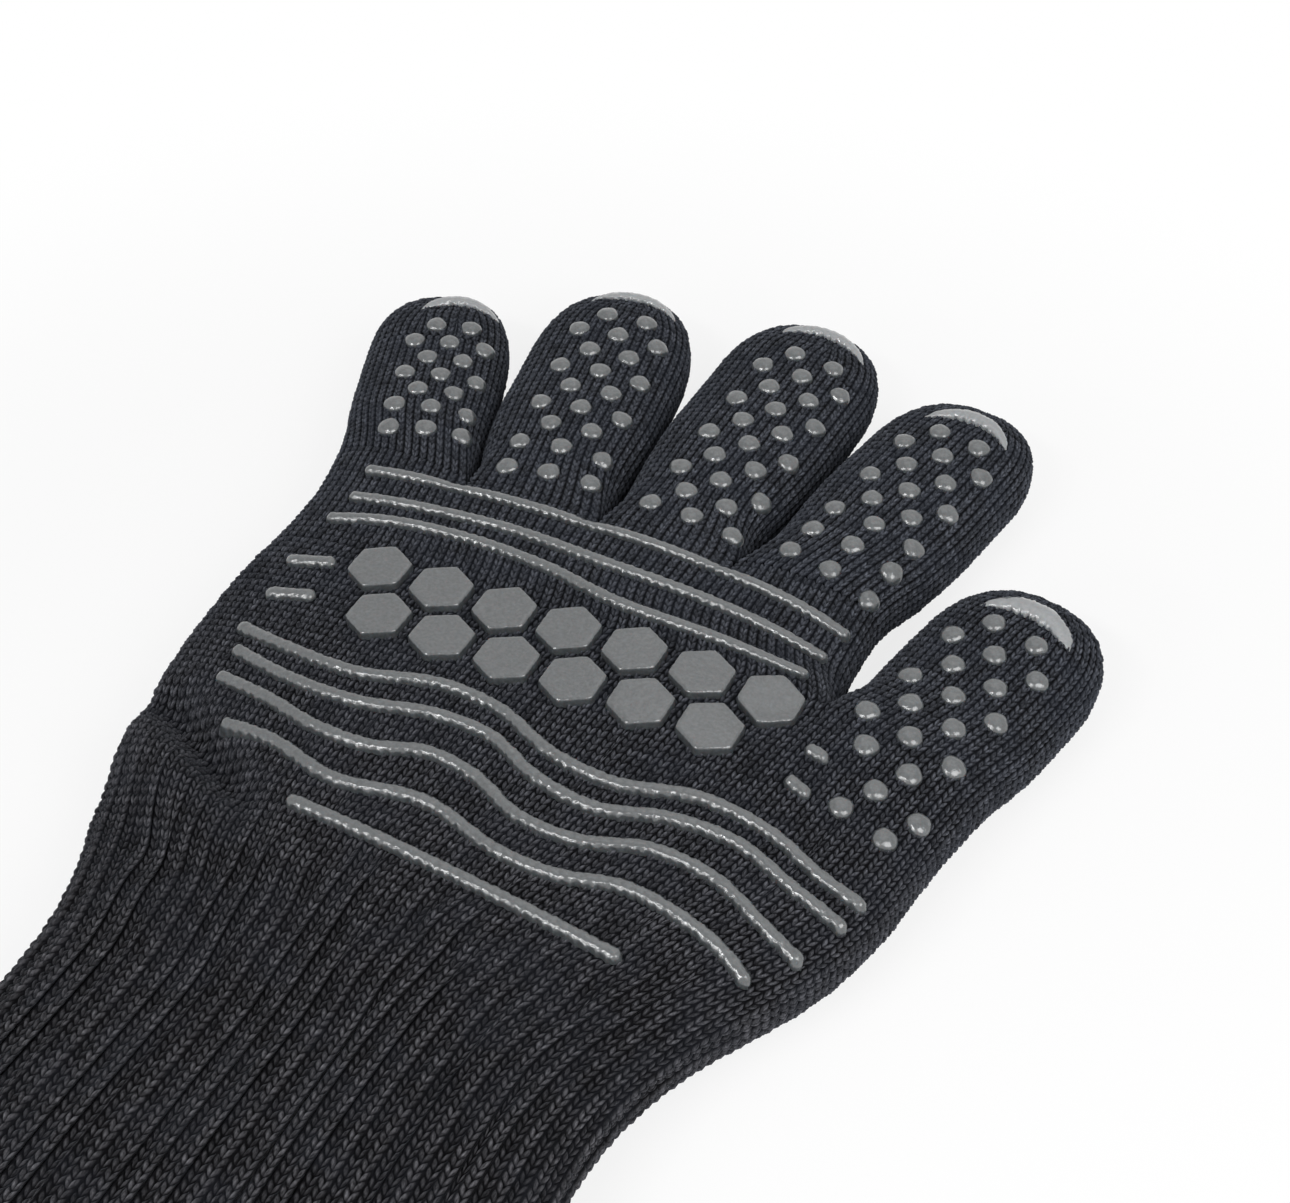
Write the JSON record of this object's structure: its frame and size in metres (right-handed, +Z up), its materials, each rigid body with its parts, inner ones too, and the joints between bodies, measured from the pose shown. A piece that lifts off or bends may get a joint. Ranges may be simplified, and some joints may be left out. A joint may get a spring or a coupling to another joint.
{
  "type": "heat resistant glove",
  "caption": "Heat resistant knitted glove with a long cuff, a full lining and raised silicone grips on the palm side.",
  "frame": {"origin": "middle of the glove's outline on the surface it lies on, at its underside", "axes": "+Y from the cuff to the fingertips, +Z up out of the printed palm, +X towards the thumb side"},
  "size_m": [0.1842, 0.345, 0.0262],
  "materials": {
    "shell_knit": "charcoal knit",
    "lining_knit": "brushed grey knit",
    "binding": "overlocked thread",
    "silicone": "glossy moulded"
  },
  "bodies": {
    "hand": {"palm_shell": "shell_knit", "palm_lining": "lining_knit", "cuff_binding": "binding", "arc_grip_1": "silicone", "arc_grip_2": "silicone", "arc_grip_3": "silicone", "wave_grip_1": "silicone", "wave_grip_2": "silicone", "wave_grip_3": "silicone", "wave_grip_4": "silicone", "heel_grip": "silicone", "dash_grip_1": "silicone", "dash_grip_2": "silicone", "dash_grip_3": "silicone", "dash_grip_4": "silicone", "pad_grip_1": "silicone", "pad_grip_2": "silicone", "pad_grip_3": "silicone", "pad_grip_4": "silicone", "pad_grip_5": "silicone", "pad_grip_6": "silicone", "pad_grip_7": "silicone", "pad_grip_8": "silicone", "pad_grip_9": "silicone", "pad_grip_10": "silicone", "pad_grip_11": "silicone", "pad_grip_12": "silicone", "pad_grip_13": "silicone"},
    "little_finger": {"little_shell": "shell_knit", "little_lining": "lining_knit", "little_tip_grip": "silicone"},
    "ring_finger": {"ring_shell": "shell_knit", "ring_lining": "lining_knit", "ring_tip_grip": "silicone"},
    "middle_finger": {"middle_shell": "shell_knit", "middle_lining": "lining_knit", "middle_tip_grip": "silicone"},
    "index_finger": {"index_shell": "shell_knit", "index_lining": "lining_knit", "index_tip_grip": "silicone"},
    "thumb": {"thumb_shell": "shell_knit", "thumb_lining": "lining_knit", "thumb_tip_grip": "silicone"}
  },
  "joints": [
    {"name": "little_bend", "type": "hinge", "parent": "hand", "child": "little_finger", "pos_m": [-0.06278, 0.08473, 0.0197], "axis": [1, 0, 0], "range_deg": [0, 80]},
    {"name": "ring_bend", "type": "hinge", "parent": "hand", "child": "ring_finger", "pos_m": [-0.03134, 0.08473, 0.0197], "axis": [1, 0, 0], "range_deg": [0, 80]},
    {"name": "middle_bend", "type": "hinge", "parent": "hand", "child": "middle_finger", "pos_m": [0.00009, 0.08473, 0.0197], "axis": [1, 0, 0], "range_deg": [0, 80]},
    {"name": "index_bend", "type": "hinge", "parent": "hand", "child": "index_finger", "pos_m": [0.03215, 0.08073, 0.0197], "axis": [1, 0, 0], "range_deg": [0, 80]},
    {"name": "thumb_bend", "type": "hinge", "parent": "hand", "child": "thumb", "pos_m": [0.06485, 0.04898, 0.0197], "axis": [0.9759, -0.2181, 0], "range_deg": [0, 65]}
  ]
}
